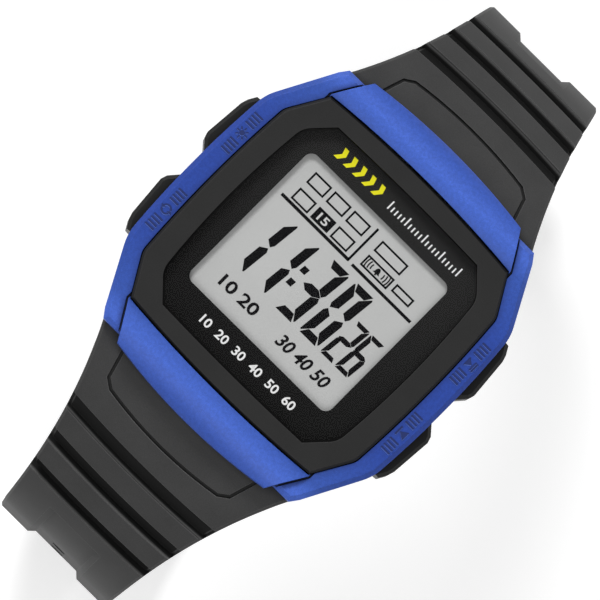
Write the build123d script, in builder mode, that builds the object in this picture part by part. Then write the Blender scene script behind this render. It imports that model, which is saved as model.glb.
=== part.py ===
from build123d import *
from math import cos, degrees, radians, sin
import os

os.makedirs("parts", exist_ok=True)

# A digital wrist watch, standing unbuckled on its own strap. Millimetres.
# The origin is on the surface it stands on, under the middle of the case.
# +Z is out of the dial, +Y is 12 o'clock and +X is 3 o'clock.
# Every height on the head is given as a drop below the face, the top of the black frame.

# Head, in plan: the blue bezel with its raised bands at 12 and 6 o'clock
bezel_half_width = 20.83
bezel_side_bow = 0.53
bezel_corner_length = 10.9
bezel_corner_radius = 6.0
tab_half_width = 15.3
tab_setback = 1.85
tab_corner_width = 0.8
tab_corner_length = 1.1
band_reach = 22.5
band_width = 4.9
band_end_bow = 0.95
band_end_taper = 3.2
band_root_half_width = 14.85
band_root_lap = 0.6
band_top_drop = 0.35
band_crest_rise = 0.2
band_crest_setback = 2.5
band_lip_drop = 1.3
band_crease_width = 0.3
band_crease_depth = 0.5
rail_width = 2.68
rail_drop = 0.5
rail_edge = 0.6
bezel_thickness = 1.8
bezel_gap = 0.15

# Black frame round the crystal, inside the bezel's opening
opening_side_bow = 0.45
opening_end_bow = 0.7
opening_corner_width = 3.45
opening_side_advance = 0.2
opening_side_radius = 2.4
opening_end_radius = 0.5
frame_side_width = 3.1
frame_end_width = 2.65
frame_edge = 0.3

# Crystal
crystal_side_bow = 0.65
crystal_end_bow = 0.2
crystal_corner_width = 3.55
crystal_side_setback = 0.1
crystal_corner_radius = 3.0
crystal_drop = 0.3
crystal_thickness = 1.5
crystal_edge = 0.25
crystal_gap = 0.08
crystal_lap = 1.2

# Case
case_inset = 0.35
case_wall = 1.7
case_taper_in = 1.6
case_taper_height = 3.4
cavity_margin = 0.25
cavity_corner = 4.5
ledge_thickness = 0.6
window_corner = 3.6

# Spring bars and the case horns that hold them
bar_inset = 2.0
bar_drop = 7.2
bar_radius = 0.9
bar_pin_radius = 0.45
bar_pin_length = 1.5
running_gap = 0.05
horn_inset = 1.5
horn_width = 4.1
horn_radius = 2.2
knuckle_radius = 3.2
knuckle_gap = 0.4
joint_gap = 0.3
strap_swing = 18

# Strap: outer face seen from the side, from the spring bar down
strap_top_drop = 2.8
root_slope = 20
shoulder_radius = 38
shoulder_slope = 46
flank_radius = 27
buckle_bend_radius = 36
buckle_side_length = 80
tail_bend_radius = 20
tail_end_gap = 6.3

# Strap: across
strap_width = 18.0
strap_mid_width = 22.0
strap_thickness = 2.6
strap_edge = 0.3
channel_width = 8.5
channel_floor_width = 7.0
channel_depth = 0.7
channel_start = 26.0
groove_runs = (11.1, 16.5, 22.0)
groove_width = 2.3
groove_floor_width = 1.9
groove_depth = 1.1
groove_bow_radius = 130
panel_root_half_width = 12.6
panel_side_reach = 25.0
panel_side_half_width = 10.2
panel_corner_reach = 25.9
panel_corner_half_width = 8.9
panel_reach = 26.6
panel_line_width = 0.4
panel_line_depth = 0.3
tail_hole_count = 9
tail_hole_pitch = 6.5
tail_hole_first = 13.0
tail_hole_width = 2.0
tail_hole_length = 3.0
tail_hole_corner = 0.6
tail_tip_corner = 6.0

# Buckle
buckle_knuckle_radius = 1.9
buckle_bar_radius = 0.6
buckle_width = 24.0
buckle_window_width = 19.2
buckle_length = 10.5
buckle_depth = 1.9
buckle_outer_bar = 2.2
buckle_eye_radius = 1.75
tongue_width = 1.7
tongue_depth = 1.1
tongue_gap = 0.1
tongue_slot_width = 2.6
tongue_slot_length = 7.0
tongue_eye_radius = 1.5
tongue_tip_over = 0.5

# Keepers
keeper_length = 5.0
keeper_wall = 1.2
keeper_gap = 0.25
keeper_corner = 1.2
tail_slack = 0.35
fixed_keeper_from_bar = 11.0
free_keeper_from_bar = 17.5

# Printed mask and its window on the display
mask_side_border = 2.25
mask_end_border = 3.2
mask_thickness = 0.25
mask_gap = 0.15
display_corner = 1.1
display_shift_x = -0.35
display_shift_y = 0.27

# Module, listed from the display down
film_thickness = 0.2
film_lap = 0.4
lcd_thickness = 1.4
lcd_side_lap = 0.9
lcd_end_lap = 0.25
backlight_thickness = 0.5
module_clearance = 0.35
module_corner = 4.5
module_side_recess = 1.05
module_floor = 0.9
module_gap = 0.1
zebra_width = 1.0
zebra_length = 22.0
board_thickness = 0.8
board_inset = 0.3
battery_frame_depth = 2.6
battery_wall = 0.6
cell_thickness = 1.6
cell_gap = 0.2
contact_plate_thickness = 0.2
contact_leaf_width = 3.0
cell_leaf_width = 2.4
cell_leaf_length = 6.0
chip_radius = 2.6
chip_height = 0.9
chip_edge = 0.6
quartz_radius = 0.9
quartz_length = 5.0
quartz_gap_share = 0.1348
quartz_end_share = 0.0618
buzzer_radius = 8.0
buzzer_thickness = 0.25
buzzer_spring_radius = 0.8
buzzer_spring_wire = 0.2
buzzer_spring_end_share = 0.1742
back_clearance = 1.55

# Case back
back_lap = 1.1
back_corner = 2.2
back_thickness = 1.0
back_edge = 0.25
gasket_radius = 0.3
gasket_offset = 0.5
screw_inset = 2.05
screw_head_radius = 1.1
screw_head_height = 0.5
screw_radius = 0.6
screw_length = 3.0
screw_gap = 0.05

# Buttons
button_inner_y = 2.0
button_end_setback = 0.6
button_inner_rise = 1.37
button_outer_rise = 0.87
button_shoulder_rise = 0.07
button_inner_slope_length = 1.5
button_outer_slope_length = 1.4
button_drop = 3.3
button_height = 4.4
button_edge = 0.45
button_travel = 0.6
button_gap = 0.3
button_root_gap = 0.2
button_pocket_depth = 2.08
button_stem_radius = 0.7
button_bore_gap = 0.05
button_contact_gap = 0.05
gland_wall = 0.7
gland_radius = 1.65
spring_radius = 1.45
spring_wire = 0.3
seal_length = 0.7
seal_gap = 0.03
clip_thickness = 0.24
clip_half_width = 1.1
clip_seat_gap = 0.04
clip_neck_width = 0.8
clip_neck_gap = 0.03

small_round_sides = 8
screw_sides = 12
overrun = 1.0

# Plan of the head, worked out from the sizes above
bezel_corner_x = bezel_half_width - bezel_side_bow
bezel_side_half_length = band_reach - bezel_corner_length
tab_reach = band_reach - tab_setback
opening_half_width = bezel_half_width - rail_width
opening_half_length = band_reach - band_width
opening_side_x = opening_half_width - opening_side_bow
opening_side_y = bezel_side_half_length + opening_side_advance
opening_end_x = opening_half_width - opening_corner_width
opening_end_y = opening_half_length - opening_end_bow
crystal_half_width = opening_half_width - frame_side_width
crystal_half_length = opening_half_length - frame_end_width
crystal_side_x = crystal_half_width - crystal_side_bow
crystal_side_y = opening_side_y - crystal_side_setback
crystal_end_x = crystal_half_width - crystal_corner_width
crystal_end_y = crystal_half_length - crystal_end_bow
window_half_width = crystal_half_width - crystal_lap
window_half_length = crystal_half_length - crystal_lap
cavity_half_width = crystal_half_width + cavity_margin
cavity_half_length = crystal_half_length + cavity_margin
bar_reach = band_reach - bar_inset
pocket_end_reach = bar_reach - knuckle_radius - knuckle_gap
case_end_reach = pocket_end_reach + case_wall
horn_outer_half = tab_half_width - horn_inset
lug_gap_half = horn_outer_half - horn_width

# Plan of the module
display_half_width = window_half_width - mask_side_border
display_half_length = window_half_length - mask_end_border
film_half_length = display_half_length + film_lap
lcd_half_width = display_half_width + lcd_side_lap
lcd_half_length = film_half_length + zebra_width + lcd_end_lap
zebra_y = (film_half_length + lcd_half_length) / 2
module_half_width = cavity_half_width - module_clearance
module_half_length = cavity_half_length - module_clearance
board_half_width = module_half_width - module_side_recess
bay_half_width = chip_radius + cell_gap
bay_half_length = module_half_length - module_corner
bay_x = board_half_width - battery_wall - bay_half_width
cell_radius = board_half_width - bay_half_width - cell_gap - battery_wall * 3 / 2
cell_x = battery_wall + cell_gap + cell_radius - board_half_width
bay_spare = 2 * (bay_half_length - buzzer_spring_radius - chip_radius) - quartz_length
quartz_y = bay_half_length - quartz_end_share * bay_spare - quartz_length / 2
chip_y = quartz_y - quartz_length / 2 - quartz_gap_share * bay_spare - chip_radius
buzzer_spring_y = buzzer_spring_end_share * bay_spare + buzzer_spring_radius - bay_half_length
back_half_width = cavity_half_width + back_lap
back_half_length = cavity_half_length + back_lap
screw_x = back_half_width - screw_inset
screw_y = back_half_length - screw_inset

# Drops of the layers of the head, from the crystal down to the case back
crystal_bottom = crystal_drop + crystal_thickness
seat_drop = crystal_bottom + mask_thickness
ledge_bottom = seat_drop + ledge_thickness
bezel_underside = rail_drop + bezel_thickness
lcd_top = ledge_bottom + film_thickness
reflector_top = lcd_top + lcd_thickness
backlight_top = reflector_top + film_thickness
floor_top = backlight_top + backlight_thickness
board_top = floor_top + module_floor
board_bottom = board_top + board_thickness
frame_bottom = board_bottom + battery_frame_depth
case_bottom_drop = frame_bottom + contact_plate_thickness + back_clearance
case_taper_drop = case_bottom_drop - case_taper_height
screw_end_drop = case_bottom_drop - screw_length

# Places along a button's stem, from the module outwards
button_pocket_x = bezel_half_width - button_pocket_depth
button_root_x = button_pocket_x + button_travel + button_root_gap
button_shoulder_x = bezel_half_width + button_shoulder_rise
button_outer_y = bezel_side_half_length - button_end_setback
stem_end_x = board_half_width + contact_plate_thickness + button_travel + button_contact_gap
clip_x = cavity_half_width - clip_seat_gap - clip_thickness
gland_x = cavity_half_width + gland_wall
spring_seat_x = gland_x + seal_length + seal_gap

# Strap, seen from the side
shoulder_run = shoulder_radius * radians(shoulder_slope - root_slope)
upper_run = shoulder_run + flank_radius * radians(90 - shoulder_slope)


def outer_face(run):
    """Reach from the middle, drop below the face and slope of the strap's outer face."""
    if run <= shoulder_run:
        slope = root_slope + degrees(run / shoulder_radius)
        reach = bar_reach + shoulder_radius * (sin(radians(slope)) - sin(radians(root_slope)))
        drop = strap_top_drop + shoulder_radius * (cos(radians(root_slope)) - cos(radians(slope)))
        return reach, drop, slope
    start_reach, start_drop, start_slope = outer_face(shoulder_run)
    slope = shoulder_slope + degrees((run - shoulder_run) / flank_radius)
    reach = start_reach + flank_radius * (sin(radians(slope)) - sin(radians(start_slope)))
    drop = start_drop + flank_radius * (cos(radians(start_slope)) - cos(radians(slope)))
    return reach, drop, slope


horizon_reach, horizon_drop = outer_face(upper_run)[:2]

# The buckle side hangs in one more arc, and its knuckle stands on the surface
buckle_angle = (buckle_side_length - upper_run) / buckle_bend_radius
buckle_bar_arm = buckle_bend_radius - strap_thickness / 2
buckle_bar_reach = horizon_reach - buckle_bend_radius + buckle_bar_arm * cos(buckle_angle)
buckle_bar_height = buckle_knuckle_radius
face_height = horizon_drop + buckle_bar_arm * sin(buckle_angle) + buckle_bar_height
horizon_height = face_height - horizon_drop
bar_height = face_height - bar_drop
frame_end = buckle_bar_reach - buckle_length

# The tail side hangs straight down, bends and lies on the surface up to the buckle
tail_straight = horizon_height - tail_bend_radius
tail_bend_reach = horizon_reach - tail_bend_radius
tail_tip = tail_end_gap - frame_end
tail_flat = tail_bend_reach - tail_tip


def bowed_octagon(mid_x, side_x, side_y, end_x, end_y, mid_y, side_radius, end_radius):
    """Plan outline with four bowed sides and four cut corners, softened."""
    with BuildSketch() as outline:
        with BuildLine():
            ThreePointArc((side_x, -side_y), (mid_x, 0), (side_x, side_y))
            Line((side_x, side_y), (end_x, end_y))
            ThreePointArc((end_x, end_y), (0, mid_y), (-end_x, end_y))
            Line((-end_x, end_y), (-side_x, side_y))
            ThreePointArc((-side_x, side_y), (-mid_x, 0), (-side_x, -side_y))
            Line((-side_x, -side_y), (-end_x, -end_y))
            ThreePointArc((-end_x, -end_y), (0, -mid_y), (end_x, -end_y))
            Line((end_x, -end_y), (side_x, -side_y))
        make_face()
        for places, radius in (
            (outline.vertices().filter_by(lambda v: abs(v.X) > (side_x + end_x) / 2), side_radius),
            (outline.vertices().filter_by(lambda v: abs(v.X) < (side_x + end_x) / 2), end_radius),
        ):
            fillet(places, radius=radius)
    return outline.sketch


def bezel_outline(inset):
    """Plan outline of the bezel's side rails with their square tab ends, drawn in by inset."""
    with BuildSketch() as outline:
        with BuildLine():
            side = ThreePointArc(
                (bezel_corner_x, -bezel_side_half_length),
                (bezel_half_width, 0),
                (bezel_corner_x, bezel_side_half_length),
            )
            Polyline(
                side @ 1,
                (tab_half_width + tab_corner_width, tab_reach - tab_corner_length),
                (tab_half_width, tab_reach),
                (0, tab_reach),
                (0, -tab_reach),
                (tab_half_width, -tab_reach),
                (tab_half_width + tab_corner_width, tab_corner_length - tab_reach),
                side @ 0,
            )
        make_face()
        mirror(about=Plane.YZ)
        corners = outline.vertices().filter_by(lambda v: abs(v.Y) < (bezel_side_half_length + tab_reach) / 2)
        fillet(corners, radius=bezel_corner_radius)
        if inset > 0:
            offset(amount=-inset, kind=Kind.INTERSECTION)
    return outline.sketch


def case_outline(inset, end_reach):
    """Plan outline of the case: the bezel's, drawn in, with its ends cut square."""
    with BuildSketch() as outline:
        add(bezel_outline(inset))
        Rectangle(2 * bezel_half_width, 2 * end_reach, mode=Mode.INTERSECT)
    return outline.sketch


def cut_rectangle(half_width, half_length, corner):
    """Rectangle with cut corners."""
    with BuildSketch() as outline:
        Rectangle(2 * half_width, 2 * half_length)
        chamfer(outline.vertices(), length=corner)
    return outline.sketch


def cavity_band(inner, outer):
    """Band round the cavity, between two distances from its wall."""
    with BuildSketch() as band:
        add(cut_rectangle(cavity_half_width + outer, cavity_half_length + outer, cavity_corner + outer / 2))
        add(
            cut_rectangle(cavity_half_width + inner, cavity_half_length + inner, cavity_corner + inner / 2),
            mode=Mode.SUBTRACT,
        )
    return band.sketch


def crystal_outline(inset):
    return bowed_octagon(
        crystal_half_width - inset,
        crystal_side_x - inset,
        crystal_side_y,
        crystal_end_x,
        crystal_end_y - inset,
        crystal_half_length - inset,
        crystal_corner_radius,
        crystal_corner_radius,
    )


def opening_outline(inset):
    return bowed_octagon(
        opening_half_width - inset,
        opening_side_x - inset,
        opening_side_y,
        opening_end_x,
        opening_end_y - inset,
        opening_half_length - inset,
        opening_side_radius,
        opening_end_radius,
    )


def small_round(radius, gap=0, sides=small_round_sides):
    """Small round section with flats, and its hole when a gap is added to it."""
    with BuildSketch() as outline:
        RegularPolygon(radius + gap, sides)
    return outline.sketch


def level(drop):
    """Horizontal plane at a drop below the face."""
    return Plane.XY.offset(face_height - drop)


def write(piece, name):
    piece.part.label = name
    export_step(piece.part, f"parts/{name}.step")


def band_outline(margin):
    """Plan outline of the two bands and what lies between them, grown by a margin."""
    root_x = band_root_half_width + margin
    root_y = opening_half_length - band_root_lap
    corner_x = tab_half_width - band_end_taper + margin
    corner_y = band_reach - band_end_bow
    with BuildSketch() as outline:
        with BuildLine():
            end = ThreePointArc((corner_x, corner_y), (0, band_reach), (-corner_x, corner_y))
            Polyline(end @ 1, (-root_x, root_y), (-root_x, 0), (root_x, 0), (root_x, root_y), end @ 0)
        make_face()
        mirror(about=Plane.XZ)
    return outline.sketch


# Raised bands: one arched profile for each end, cut to the plan of the bands
band_inner_y = opening_half_length - overrun
with BuildPart() as bands:
    with BuildSketch(Plane.YZ):
        with BuildLine():
            low = Line(
                (band_inner_y, face_height - bezel_underside),
                (band_reach, face_height - bezel_underside),
            )
            lip = Line(low @ 1, (band_reach, face_height - band_lip_drop))
            crest = ThreePointArc(
                lip @ 1,
                (band_reach - band_crest_setback, face_height + band_crest_rise),
                (band_inner_y, face_height - band_top_drop),
            )
            Line(crest @ 1, low @ 0)
        make_face()
        mirror(about=Plane.YZ)
    extrude(amount=band_root_half_width, both=True)
    with BuildSketch(level(bezel_underside)):
        add(band_outline(0))
    extrude(amount=bezel_underside + overrun, mode=Mode.INTERSECT)

# Bezel: side rails, tab ends and the bands in one moulding
with BuildPart() as bezel:
    with BuildSketch(level(bezel_underside)):
        add(bezel_outline(0))
    extrude(amount=bezel_thickness)
    chamfer(bezel.faces().sort_by(Axis.Z)[-1].outer_wire().edges(), length=rail_edge)
    # crease between the side rails and the bands
    with BuildSketch(level(rail_drop + band_crease_depth)):
        add(band_outline(band_crease_width))
    extrude(amount=band_crease_depth + overrun, mode=Mode.SUBTRACT)
    add(bands.part)
    with BuildSketch(level(bezel_underside + overrun)):
        add(opening_outline(0))
    extrude(amount=bezel_underside + 2 * overrun, mode=Mode.SUBTRACT)
write(bezel, "bezel")

# Crystal, with a small polished edge
with BuildPart() as crystal:
    with BuildSketch(level(crystal_bottom)):
        add(crystal_outline(crystal_gap))
    extrude(amount=crystal_thickness)
    chamfer(crystal.faces().sort_by(Axis.Z)[-1].outer_wire().edges(), length=crystal_edge)
write(crystal, "crystal")

button_y = (button_inner_y + button_outer_y) / 2
button_z = face_height - button_drop - button_height / 2


def stem_plane(x):
    """Plane across a button's stem, at +X +Y."""
    return Plane(origin=(x, button_y, button_z), x_dir=(0, 1, 0), z_dir=(1, 0, 0))


def button_pocket():
    """Space that a button cap and its travel take out of the case wall, at +X +Y."""
    with BuildPart() as pocket:
        with BuildSketch(stem_plane(button_pocket_x)):
            Rectangle(button_outer_y - button_inner_y + 2 * button_gap, button_height + 2 * button_gap)
        extrude(amount=button_pocket_depth + overrun)
        with BuildSketch(stem_plane(gland_x)):
            add(small_round(gland_radius))
        extrude(amount=button_pocket_x - gland_x + overrun)
        with BuildSketch(stem_plane(cavity_half_width - overrun)):
            add(small_round(button_stem_radius, button_bore_gap))
        extrude(amount=gland_wall + 2 * overrun)
    return pocket.part


# Case: tapered tub, black frame round the crystal, and two pairs of horns
with BuildPart() as case_body:
    with BuildSketch(level(case_taper_drop)):
        add(case_outline(case_inset, case_end_reach))
    extrude(amount=case_taper_drop - bezel_underside)
    with BuildSketch(level(case_taper_drop)):
        add(case_outline(case_inset, case_end_reach))
    with BuildSketch(level(case_bottom_drop)):
        add(case_outline(case_inset + case_taper_in, case_end_reach - case_taper_in))
    loft(ruled=True)
    with BuildSketch(level(bezel_underside)):
        add(opening_outline(bezel_gap))
    extrude(amount=bezel_underside)
    chamfer(case_body.faces().sort_by(Axis.Z)[-1].outer_wire().edges(), length=frame_edge)
    # knuckle pockets between the horns
    with BuildSketch(level(case_bottom_drop + overrun)):
        with Locations((0, pocket_end_reach)):
            Rectangle(2 * lug_gap_half, case_wall + overrun, align=(Align.CENTER, Align.MIN))
        mirror(about=Plane.XZ)
    extrude(amount=case_bottom_drop + overrun - bezel_underside, mode=Mode.SUBTRACT)
    # horns
    with BuildSketch(Plane.YZ.offset(lug_gap_half)):
        with Locations((bar_reach, bar_height)):
            Circle(horn_radius)
            Rectangle(
                bar_reach - case_end_reach + case_taper_in, 2 * horn_radius, align=(Align.MAX, Align.CENTER)
            )
        mirror(about=Plane.YZ)
    horn = extrude(amount=horn_width)
    mirror(horn, about=Plane.YZ)
    with BuildSketch(Plane.YZ):
        with Locations((bar_reach, bar_height), (-bar_reach, bar_height)):
            add(small_round(bar_pin_radius, running_gap))
    extrude(amount=lug_gap_half + bar_pin_length + running_gap, both=True, mode=Mode.SUBTRACT)
    # seat for the mask and crystal, window and cavity
    with BuildSketch(level(seat_drop)):
        add(crystal_outline(0))
    extrude(amount=seat_drop + overrun, mode=Mode.SUBTRACT)
    with BuildSketch(level(ledge_bottom)):
        add(cut_rectangle(window_half_width, window_half_length, window_corner))
    extrude(amount=ledge_thickness + overrun, mode=Mode.SUBTRACT)
    with BuildSketch(level(ledge_bottom)):
        add(cut_rectangle(cavity_half_width, cavity_half_length, cavity_corner))
    extrude(amount=-(case_bottom_drop - ledge_bottom + overrun), mode=Mode.SUBTRACT)
    # gasket groove round the cavity, on the bottom face
    with BuildSketch(level(case_bottom_drop)):
        add(cavity_band(gasket_offset - gasket_radius, gasket_offset + gasket_radius))
    extrude(amount=2 * gasket_radius, mode=Mode.SUBTRACT)
    # button pockets, gland wells and stem bores
    pocket = button_pocket()
    for place in (pocket, pocket.mirror(Plane.XZ)):
        add(place, mode=Mode.SUBTRACT)
        add(place.mirror(Plane.YZ), mode=Mode.SUBTRACT)
    # screw holes
    with BuildSketch(level(case_bottom_drop)):
        with GridLocations(2 * screw_x, 2 * screw_y, 2, 2):
            add(small_round(screw_radius, screw_gap, screw_sides))
    extrude(amount=screw_length, mode=Mode.SUBTRACT)
write(case_body, "case_body")

# Case back: flat plate with cut corners and four counterbored screw holes
back_outer_drop = case_bottom_drop + back_thickness
with BuildPart() as case_back:
    with BuildSketch(level(back_outer_drop)):
        add(cut_rectangle(back_half_width, back_half_length, back_corner))
    extrude(amount=back_thickness)
    chamfer(case_back.faces().sort_by(Axis.Z)[0].outer_wire().edges(), length=back_edge)
    with BuildSketch(level(back_outer_drop)):
        with GridLocations(2 * screw_x, 2 * screw_y, 2, 2):
            add(small_round(screw_head_radius, screw_gap, screw_sides))
    extrude(amount=screw_head_height, mode=Mode.SUBTRACT)
    with BuildSketch(level(back_outer_drop)):
        with GridLocations(2 * screw_x, 2 * screw_y, 2, 2):
            add(small_round(screw_radius, screw_gap, screw_sides))
    extrude(amount=back_thickness, mode=Mode.SUBTRACT)
write(case_back, "case_back")

with BuildPart() as back_screws:
    with BuildSketch(level(back_outer_drop)):
        with GridLocations(2 * screw_x, 2 * screw_y, 2, 2):
            add(small_round(screw_head_radius, sides=screw_sides))
    extrude(amount=screw_head_height)
    with BuildSketch(level(back_outer_drop - screw_head_height)):
        with GridLocations(2 * screw_x, 2 * screw_y, 2, 2):
            add(small_round(screw_radius, sides=screw_sides))
    extrude(amount=back_outer_drop - screw_head_height - screw_end_drop - screw_gap)
write(back_screws, "back_screws")

with BuildPart() as back_gasket:
    with BuildSketch(level(case_bottom_drop)):
        add(cavity_band(gasket_offset - gasket_radius + seal_gap, gasket_offset + gasket_radius - seal_gap))
    extrude(amount=2 * gasket_radius)
write(back_gasket, "back_gasket")

# Printed mask under the crystal, with the display window
with BuildPart() as dial_mask:
    with BuildSketch(level(seat_drop)):
        add(crystal_outline(mask_gap))
        with Locations((display_shift_x, display_shift_y)):
            RectangleRounded(
                2 * display_half_width, 2 * display_half_length, display_corner, mode=Mode.SUBTRACT
            )
    extrude(amount=mask_thickness)
write(dial_mask, "dial_mask")

# Display stack
for name, top, thickness, half_length in (
    ("lcd_front_polariser", ledge_bottom, film_thickness, film_half_length),
    ("lcd_glass", lcd_top, lcd_thickness, lcd_half_length),
    ("lcd_reflector", reflector_top, film_thickness, film_half_length),
    ("backlight_panel", backlight_top, backlight_thickness, film_half_length),
):
    with BuildPart() as sheet:
        with BuildSketch(level(top + thickness)):
            with Locations((display_shift_x / 2, 0)):
                Rectangle(2 * (lcd_half_width - module_gap), 2 * half_length)
        extrude(amount=thickness)
    write(sheet, name)

# Module frame: holds the display from below, with a slot for each zebra strip
with BuildPart() as module_frame:
    with BuildSketch(level(board_top)):
        add(cut_rectangle(module_half_width, module_half_length, module_corner))
        with Locations((module_half_width, 0), (-module_half_width, 0)):
            Rectangle(2 * module_side_recess, 2 * button_outer_y, mode=Mode.SUBTRACT)
    extrude(amount=board_top - ledge_bottom - module_gap)
    with BuildSketch(level(reflector_top)):
        with Locations((display_shift_x / 2, 0)):
            Rectangle(2 * lcd_half_width, 2 * (lcd_half_length + module_gap))
    extrude(amount=reflector_top, mode=Mode.SUBTRACT)
    with BuildSketch(level(floor_top)):
        with Locations((display_shift_x / 2, 0)):
            Rectangle(2 * lcd_half_width, 2 * (film_half_length + module_gap))
    extrude(amount=floor_top - reflector_top, mode=Mode.SUBTRACT)
    with BuildSketch(level(board_top)):
        with Locations((0, zebra_y), (0, -zebra_y)):
            Rectangle(zebra_length + 2 * module_gap, zebra_width + module_gap)
    extrude(amount=board_top - reflector_top, mode=Mode.SUBTRACT)
write(module_frame, "module_frame")

with BuildPart() as zebra_strips:
    with BuildSketch(level(board_top)):
        with Locations((0, zebra_y), (0, -zebra_y)):
            Rectangle(zebra_length, zebra_width)
    extrude(amount=board_top - reflector_top)
write(zebra_strips, "zebra_strips")


def board_plan(inset):
    return cut_rectangle(board_half_width - inset, module_half_length - inset, module_corner)


with BuildPart() as circuit_board:
    with BuildSketch(level(board_bottom)):
        add(board_plan(board_inset))
    extrude(amount=board_thickness)
write(circuit_board, "circuit_board")

# Controller under its cap of resin, with a sloping edge
with BuildPart() as controller_chip:
    with BuildSketch(level(board_bottom)):
        with Locations((bay_x, chip_y)):
            add(small_round(chip_radius))
    extrude(amount=-chip_height)
    chamfer(controller_chip.faces().sort_by(Axis.Z)[0].edges(), length=chip_edge)
write(controller_chip, "controller_chip")

with BuildPart() as quartz_crystal:
    with BuildSketch(Plane.XZ.offset(-quartz_y - quartz_length / 2)):
        with Locations((bay_x, face_height - board_bottom - quartz_radius)):
            add(small_round(quartz_radius))
    extrude(amount=quartz_length)
write(quartz_crystal, "quartz_crystal")

# Battery frame: pocket for the cell and a bay for the parts beside it
with BuildPart() as battery_frame:
    with BuildSketch(level(frame_bottom)):
        add(board_plan(0))
        with Locations((cell_x, 0)):
            Circle(cell_radius + cell_gap, mode=Mode.SUBTRACT)
        with Locations((bay_x, 0)):
            Rectangle(2 * bay_half_width, 2 * bay_half_length, mode=Mode.SUBTRACT)
    extrude(amount=battery_frame_depth)
write(battery_frame, "battery_frame")

with BuildPart() as coin_cell:
    with BuildSketch(level(frame_bottom)):
        with Locations((cell_x, 0)):
            Circle(cell_radius)
    extrude(amount=cell_thickness)
write(coin_cell, "coin_cell")

# Leaf between the board and the cell, bent like a bridge
leaf_height = battery_frame_depth - cell_thickness
leaf_top_z = face_height - board_bottom
leaf_step = 2 * contact_plate_thickness
with BuildPart() as cell_contact:
    with BuildSketch(Plane.XZ.offset(cell_leaf_width / 2)):
        with BuildLine():
            Polyline(
                (cell_x - cell_leaf_length / 2, leaf_top_z),
                (cell_x, leaf_top_z - leaf_height),
                (cell_x + cell_leaf_length / 2, leaf_top_z),
                (cell_x + cell_leaf_length / 2 - leaf_step, leaf_top_z),
                (cell_x, leaf_top_z - leaf_height + contact_plate_thickness),
                (cell_x - cell_leaf_length / 2 + leaf_step, leaf_top_z),
                close=True,
            )
        make_face()
    extrude(amount=-cell_leaf_width)
write(cell_contact, "cell_contact")

# Contact plate behind the cell, with four switch leaves folded up beside the board
leaf_x = board_half_width + contact_plate_thickness / 2
with BuildPart() as contact_plate:
    with BuildSketch(level(frame_bottom + contact_plate_thickness)):
        add(board_plan(0))
        with Locations((bay_x, 0)):
            Rectangle(2 * bay_half_width, 2 * bay_half_length, mode=Mode.SUBTRACT)
    extrude(amount=contact_plate_thickness)
    with BuildSketch(level(frame_bottom + contact_plate_thickness)):
        with GridLocations(2 * leaf_x, 2 * button_y, 2, 2):
            Rectangle(contact_plate_thickness, contact_leaf_width)
    extrude(amount=frame_bottom + contact_plate_thickness - button_drop)
write(contact_plate, "contact_plate")

# Buzzer: a disc on the case back, and the spring that feeds it from the board
with BuildPart() as buzzer_disc:
    with BuildSketch(level(case_bottom_drop)):
        with Locations((bay_x / 2, buzzer_spring_y / 2)):
            Circle(buzzer_radius)
    extrude(amount=buzzer_thickness)
write(buzzer_disc, "buzzer_disc")

with BuildPart() as buzzer_spring:
    with BuildSketch(level(case_bottom_drop - buzzer_thickness)):
        with Locations((bay_x, buzzer_spring_y)):
            add(small_round(buzzer_spring_radius))
            add(small_round(buzzer_spring_radius - buzzer_spring_wire), mode=Mode.SUBTRACT)
    extrude(amount=case_bottom_drop - buzzer_thickness - board_bottom)
write(buzzer_spring, "buzzer_spring")

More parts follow.
